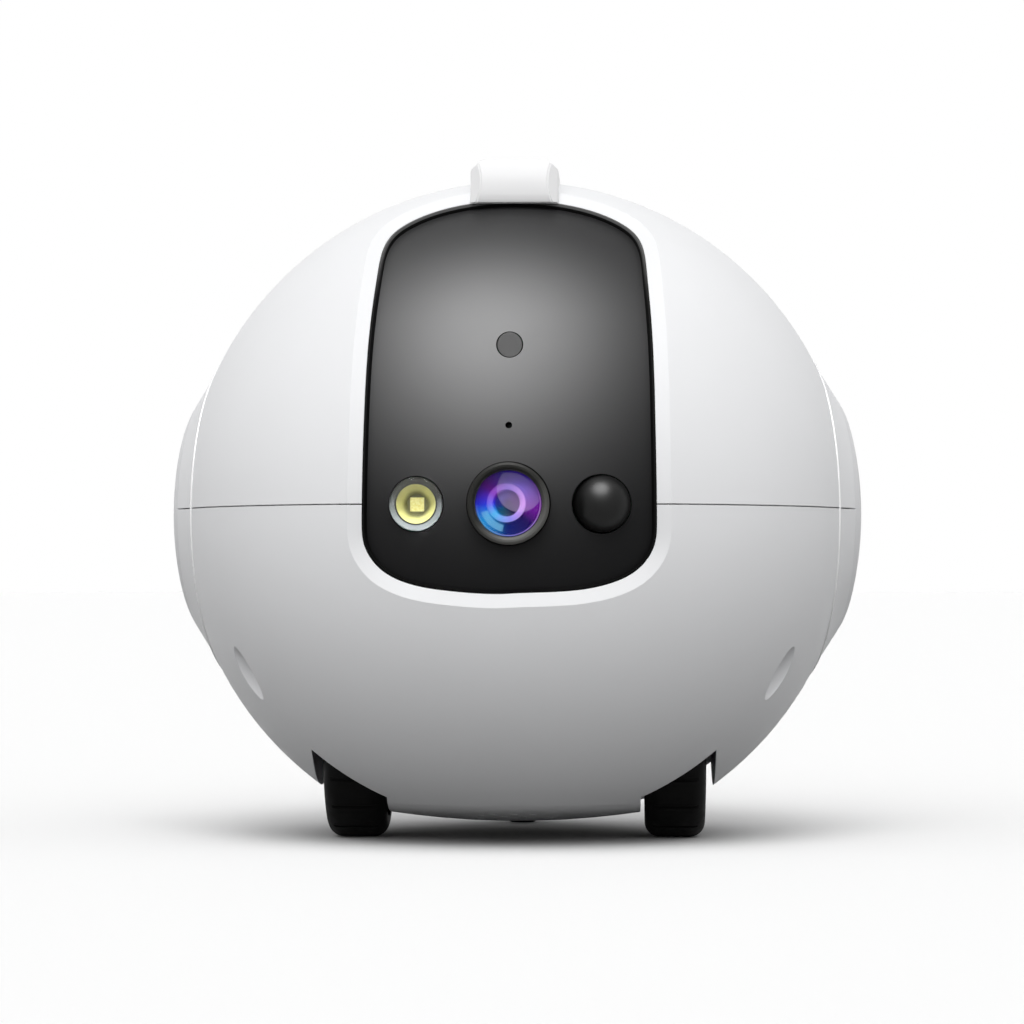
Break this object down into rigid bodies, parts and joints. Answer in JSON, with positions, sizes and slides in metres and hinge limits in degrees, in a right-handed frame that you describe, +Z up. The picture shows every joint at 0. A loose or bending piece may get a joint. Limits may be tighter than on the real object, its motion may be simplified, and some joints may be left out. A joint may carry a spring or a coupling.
{
  "type": "treat tossing pet camera",
  "caption": "Ball-shaped rolling pet camera with a dark front panel of lens, lamp and motion sensor, a hinged treat lid on top and a rear outlet for tossed treats.",
  "frame": {"origin": "on the floor, below the middle of the ball", "axes": "+X right across the wheels as seen from the front, +Y to the back, +Z up; the panel faces -Y"},
  "size_m": [0.1546, 0.15, 0.1498],
  "materials": {
    "white_shell": "smooth satin white",
    "panel": "satin black",
    "dark_seal": "matt black",
    "lens_trim": "satin dark grey",
    "clear_glass": "coated clear",
    "matt_black": "fine matt",
    "lamp_clear": "clear moulded",
    "lamp_bowl": "bright bowl",
    "lamp_chip": "phosphor yellow",
    "sensor_dome": "glossy black",
    "sensor_can": "plain",
    "smoked": "smoked grey",
    "tyre": "matt",
    "rim": "fine matt grey",
    "steel": "turned",
    "motor": "plated",
    "inner_frame": "moulded grey",
    "cell": "wrapped blue",
    "contact": "plated",
    "board": "solder mask",
    "chip": "moulded",
    "speaker": "paper and steel",
    "store": "frosted",
    "feed": "moulded",
    "mechanism": "moulded",
    "silicone": "soft"
  },
  "bodies": {
    "housing": {"battery_cells": "cell", "battery_contacts": "contact", "board_chips": "chip", "board_screws": "steel", "camera_module": "matt_black", "chassis_frame": "inner_frame", "dispenser_case": "store", "dispenser_motor": "motor", "drive_motor_left": "motor", "drive_motor_right": "motor", "flap_pin": "steel", "frame_screws": "steel", "front_panel": "panel", "led_chip": "lamp_chip", "led_lens": "lamp_clear", "led_reflector": "lamp_bowl", "lens_cone": "matt_black", "lens_glass": "clear_glass", "lens_ring": "lens_trim", "lid_hinge_pin": "steel", "light_pipe": "smoked", "lower_shell": "white_shell", "main_board": "board", "mic_boot": "dark_seal", "motor_clamp": "inner_frame", "outlet_bezel": "white_shell", "panel_gasket": "dark_seal", "pir_dome": "sensor_dome", "pir_sensor": "sensor_can", "power_switch": "chip", "rear_board": "board", "sensor_board": "board", "shell_screws": "steel", "side_cap_left": "white_shell", "side_cap_right": "white_shell", "speaker": "speaker", "toss_housing": "mechanism", "toss_motor": "motor", "treat_hopper": "store", "upper_shell": "white_shell", "usb_port": "steel"},
    "wheel_left": {"tyre_left": "tyre", "wheel_rim_left": "rim", "wheel_axle_left": "steel"},
    "wheel_right": {"tyre_right": "tyre", "wheel_rim_right": "rim", "wheel_axle_right": "steel"},
    "caster_swivel": {"caster_fork": "rim", "caster_axle": "steel"},
    "caster_roller": {"caster_wheel": "tyre"},
    "lid": {"lid_shell": "white_shell", "lid_tab": "white_shell", "lid_seal": "silicone"},
    "rotor": {"dispenser_rotor": "feed"},
    "pinion": {"dispenser_pinion": "feed", "dispenser_shaft": "steel"},
    "thrower": {"toss_wheel": "feed", "toss_shaft": "steel"},
    "flap": {"outlet_flap": "white_shell"},
    "button": {"power_button": "white_shell"}
  },
  "joints": [
    {"name": "wheel_left_spin", "type": "hinge", "parent": "housing", "child": "wheel_left", "pos_m": [-0.035, -0.005, 0.025], "axis": [1, 0, 0], "continuous": true},
    {"name": "wheel_right_spin", "type": "hinge", "parent": "housing", "child": "wheel_right", "pos_m": [0.035, -0.005, 0.025], "axis": [1, 0, 0], "continuous": true},
    {"name": "caster_turn", "type": "hinge", "parent": "housing", "child": "caster_swivel", "pos_m": [0, 0.045, 0.02], "axis": [0, 0, 1], "continuous": true},
    {"name": "caster_roll", "type": "hinge", "parent": "caster_swivel", "child": "caster_roller", "pos_m": [0, 0.048, 0.008], "axis": [1, 0, 0], "continuous": true},
    {"name": "lid_hinge", "type": "hinge", "parent": "housing", "child": "lid", "pos_m": [0, 0.0406, 0.1383], "axis": [-1, 0, 0], "range_deg": [0, 105]},
    {"name": "rotor_spin", "type": "hinge", "parent": "housing", "child": "rotor", "pos_m": [0, 0.011, 0.1], "axis": [0, 0, 1], "continuous": true},
    {"name": "pinion_spin", "type": "hinge", "parent": "housing", "child": "pinion", "pos_m": [0, -0.016, 0.1], "axis": [0, 0, 1], "continuous": true},
    {"name": "toss_spin", "type": "hinge", "parent": "housing", "child": "thrower", "pos_m": [0, 0.042, 0.077], "axis": [1, 0, 0], "continuous": true},
    {"name": "flap_swing", "type": "hinge", "parent": "housing", "child": "flap", "pos_m": [0, 0.0696, 0.0946], "axis": [1, 0, 0], "range_deg": [0, 75]},
    {"name": "button_press", "type": "slide", "parent": "housing", "child": "button", "axis": [0, -1, 0], "range_m": [0, 0.001], "stiffness_N_per_m": 400}
  ],
  "couplings": [
    {"joint": "pinion_spin", "follows": "rotor_spin", "ratio": -3.5}
  ]
}
